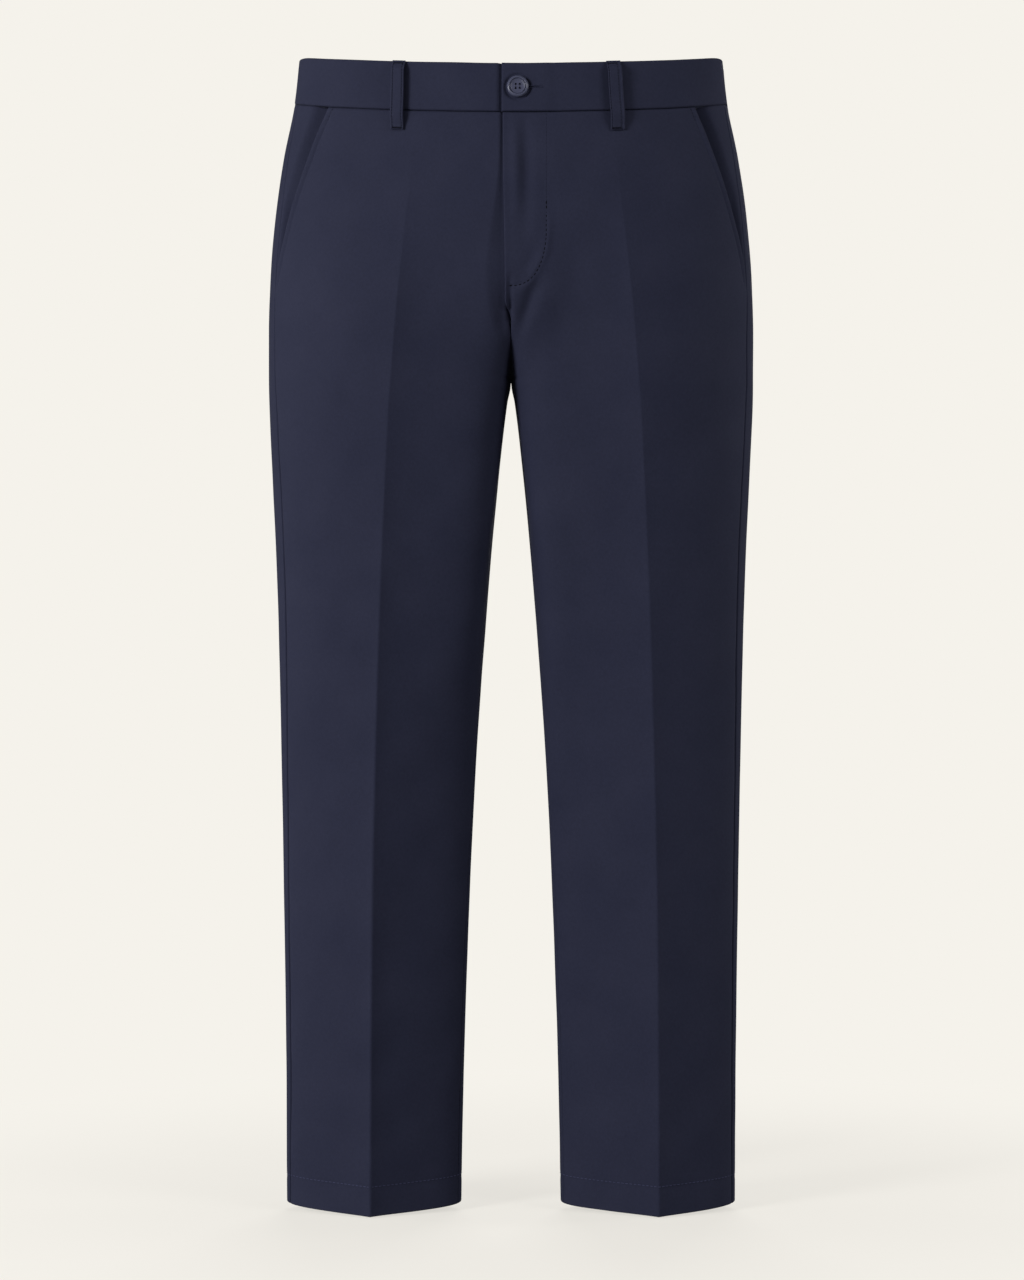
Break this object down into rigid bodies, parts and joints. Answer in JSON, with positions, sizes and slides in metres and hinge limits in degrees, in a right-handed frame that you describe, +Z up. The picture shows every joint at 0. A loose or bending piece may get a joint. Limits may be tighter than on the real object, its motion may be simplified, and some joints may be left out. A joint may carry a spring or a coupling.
{
  "type": "dress trousers",
  "caption": "Men's dress trousers, filled out and hollow: flat front, pressed creases, slant side pockets, buttoned fly waistband with belt loops, plain open hems.",
  "frame": {"origin": "middle of the waist, half way up the waistband at its sides, where the wearer holds the trousers up", "axes": "+Z up out of the waist, -Y out of the front, +X to the wearer's left"},
  "size_m": [0.4464, 0.2195, 1.0626],
  "materials": {
    "navy_cloth": "matte fine wool twill",
    "navy_tape": "matte woven tape",
    "navy_resin": "semi-gloss",
    "dark_metal": "dark satin"
  },
  "bodies": {
    "root": {"back_left": "navy_cloth", "back_right": "navy_cloth", "belt_loop_back_left": "navy_cloth", "belt_loop_back_right": "navy_cloth", "belt_loop_center_back": "navy_cloth", "belt_loop_front_left": "navy_cloth", "belt_loop_front_right": "navy_cloth", "belt_loop_side_left": "navy_cloth", "belt_loop_side_right": "navy_cloth", "button": "navy_resin", "fly_shield": "navy_cloth", "front_left": "navy_cloth", "front_right": "navy_cloth", "pocket_facing_left": "navy_cloth", "pocket_facing_right": "navy_cloth", "waistband_left": "navy_cloth", "waistband_right": "navy_cloth", "zip": "navy_tape", "zip_slider": "dark_metal"}
  },
  "joints": []
}
